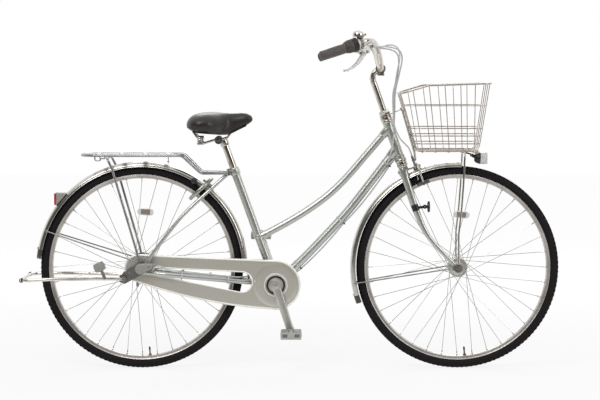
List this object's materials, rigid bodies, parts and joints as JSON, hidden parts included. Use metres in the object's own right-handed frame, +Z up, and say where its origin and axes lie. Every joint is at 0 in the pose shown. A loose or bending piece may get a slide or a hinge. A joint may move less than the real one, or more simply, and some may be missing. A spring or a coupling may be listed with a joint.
{
  "type": "step through bike",
  "caption": "City bicycle with a low bowed double frame, full chain case, rear rack, wire front basket, mudguards, lamp and fold-down stand.",
  "frame": {"origin": "on the ground, midway between the foremost and rearmost points, in the plane of the wheels", "axes": "+X forward towards the front wheel, +Y to the rider's left, +Z up; the drive side is at -Y"},
  "size_m": [1.8075, 0.5682, 1.138],
  "materials": {
    "frame_paint": "silver metallic gloss",
    "case_paint": "silver metallic satin",
    "chrome": "mirror polish",
    "bright_steel": "bright stainless",
    "dark_steel": "dull zinc",
    "alloy": "satin",
    "tyre": "matte black",
    "grey_plastic": "moulded grey",
    "dark_plastic": "moulded black",
    "leatherette": "grained vinyl",
    "clear_plastic": "clear ribbed",
    "red_plastic": "clear red",
    "cable_grey": "grey housing"
  },
  "bodies": {
    "frame": {"head_tube": "frame_paint", "top_tube": "frame_paint", "down_tube": "frame_paint", "seat_tube": "frame_paint", "bottom_bracket_shell": "frame_paint", "left_chain_stay": "frame_paint", "right_chain_stay": "frame_paint", "left_seat_stay": "frame_paint", "right_seat_stay": "frame_paint", "rear_mudguard": "bright_steel", "tail_reflector_lens": "red_plastic", "rack_deck": "bright_steel", "rack_legs": "bright_steel", "chain_case": "case_paint", "chain": "dark_steel", "gear_cover": "grey_plastic", "rear_axle": "dark_steel", "rear_brake_drum": "bright_steel", "ring_lock_body": "dark_plastic", "frame_cables": "cable_grey", "handlebar_cables": "cable_grey"},
    "steering": {"fork": "frame_paint", "stem": "chrome", "handlebar": "chrome", "left_grip": "grey_plastic", "right_grip": "grey_plastic", "left_lever_bracket": "alloy", "right_lever_bracket": "alloy", "bell": "chrome", "basket": "bright_steel", "basket_bracket": "bright_steel", "basket_stays": "bright_steel", "front_mudguard": "bright_steel", "headlamp": "grey_plastic", "headlamp_lens": "clear_plastic", "front_axle": "dark_steel", "front_brake_cable": "cable_grey"},
    "front_wheel": {"front_tyre": "tyre", "front_rim": "alloy", "front_hub": "alloy"},
    "rear_wheel": {"rear_tyre": "tyre", "rear_rim": "alloy", "rear_hub": "alloy"},
    "sprocket": {"rear_sprocket": "dark_steel"},
    "crankset": {"right_crank": "alloy", "left_crank": "alloy"},
    "right_pedal": {"right_pedal": "dark_plastic"},
    "left_pedal": {"left_pedal": "dark_plastic"},
    "saddle": {"seat_post": "chrome", "saddle_cover": "leatherette", "saddle_frame": "dark_steel"},
    "stand": {"stand": "bright_steel"},
    "lock_bolt": {"lock_bolt": "dark_plastic"},
    "brake_arm": {"rear_brake_arm": "dark_steel"},
    "shifter": {"twist_shifter": "dark_plastic"},
    "left_lever": {"left_brake_lever": "alloy"},
    "right_lever": {"right_brake_lever": "alloy"},
    "left_calliper": {"left_calliper_arm": "alloy"},
    "right_calliper": {"right_calliper_arm": "alloy"},
    "striker": {"bell_striker": "dark_plastic"}
  },
  "joints": [
    {"name": "steer", "type": "hinge", "parent": "frame", "child": "steering", "pos_m": [0.5019, 0, 0.3211], "axis": [-0.3279, 0, 0.9447], "range_deg": [-50, 50], "deforming": ["handlebar_cables"]},
    {"name": "front_wheel_spin", "type": "hinge", "parent": "steering", "child": "front_wheel", "pos_m": [0.562, 0, 0.342], "axis": [0, 1, 0], "continuous": true},
    {"name": "rear_wheel_spin", "type": "hinge", "parent": "frame", "child": "rear_wheel", "pos_m": [-0.504, 0, 0.342], "axis": [0, 1, 0], "continuous": true},
    {"name": "crank_spin", "type": "hinge", "parent": "frame", "child": "crankset", "pos_m": [-0.05158, 0, 0.285], "axis": [0, 1, 0], "continuous": true},
    {"name": "sprocket_spin", "type": "hinge", "parent": "frame", "child": "sprocket", "pos_m": [-0.504, 0, 0.342], "axis": [0, 1, 0], "continuous": true},
    {"name": "right_pedal_spin", "type": "hinge", "parent": "crankset", "child": "right_pedal", "pos_m": [0.00023, -0.129, 0.12834], "axis": [0, 1, 0], "continuous": true},
    {"name": "left_pedal_spin", "type": "hinge", "parent": "crankset", "child": "left_pedal", "pos_m": [-0.10339, 0.129, 0.44166], "axis": [0, 1, 0], "continuous": true},
    {"name": "saddle_height", "type": "slide", "parent": "frame", "child": "saddle", "axis": [-0.342, 0, 0.9397], "range_m": [-0.05, 0.06]},
    {"name": "stand_swing", "type": "hinge", "parent": "frame", "child": "stand", "pos_m": [-0.5615, 0, 0.307], "axis": [0, -1, 0], "range_deg": [0, 93]},
    {"name": "lock_slide", "type": "hinge", "parent": "frame", "child": "lock_bolt", "pos_m": [-0.30723, 0, 0.60445], "axis": [0.6782, 0, -0.7349], "range_deg": [0, 66]},
    {"name": "left_lever_pull", "type": "hinge", "parent": "steering", "child": "left_lever", "pos_m": [0.24574, 0.20417, 1.06597], "axis": [0.4129, 0.9108, 0], "range_deg": [0, 22], "stiffness_Nm_per_rad": 1.5},
    {"name": "right_lever_pull", "type": "hinge", "parent": "steering", "child": "right_lever", "pos_m": [0.24574, -0.20417, 1.06597], "axis": [-0.4129, 0.9108, 0], "range_deg": [0, 22], "stiffness_Nm_per_rad": 1.5},
    {"name": "left_calliper_close", "type": "hinge", "parent": "steering", "child": "left_calliper", "pos_m": [0.38159, 0, 0.66786], "axis": [-0.9447, 0, -0.3279], "range_deg": [0, 2.2]},
    {"name": "right_calliper_close", "type": "hinge", "parent": "steering", "child": "right_calliper", "pos_m": [0.38159, 0, 0.66786], "axis": [0.9447, 0, 0.3279], "range_deg": [0, 2.2]},
    {"name": "brake_arm_pull", "type": "hinge", "parent": "frame", "child": "brake_arm", "pos_m": [-0.524, 0.055, 0.334], "axis": [0, -1, 0], "range_deg": [0, 12]},
    {"name": "shifter_twist", "type": "hinge", "parent": "steering", "child": "shifter", "pos_m": [0.19642, -0.22652, 1.08409], "axis": [-0.8718, -0.3952, -0.2892], "range_deg": [0, 60]},
    {"name": "striker_swing", "type": "hinge", "parent": "steering", "child": "striker", "pos_m": [0.22659, -0.21285, 1.09409], "axis": [-0.2634, -0.1194, 0.9573], "range_deg": [-25, 25], "stiffness_Nm_per_rad": 0.02}
  ],
  "couplings": [
    {"joint": "sprocket_spin", "follows": "crank_spin", "ratio": 2},
    {"joint": "left_calliper_close", "follows": "right_lever_pull", "ratio": 0.1},
    {"joint": "right_calliper_close", "follows": "right_lever_pull", "ratio": 0.1},
    {"joint": "brake_arm_pull", "follows": "left_lever_pull", "ratio": 0.5}
  ]
}
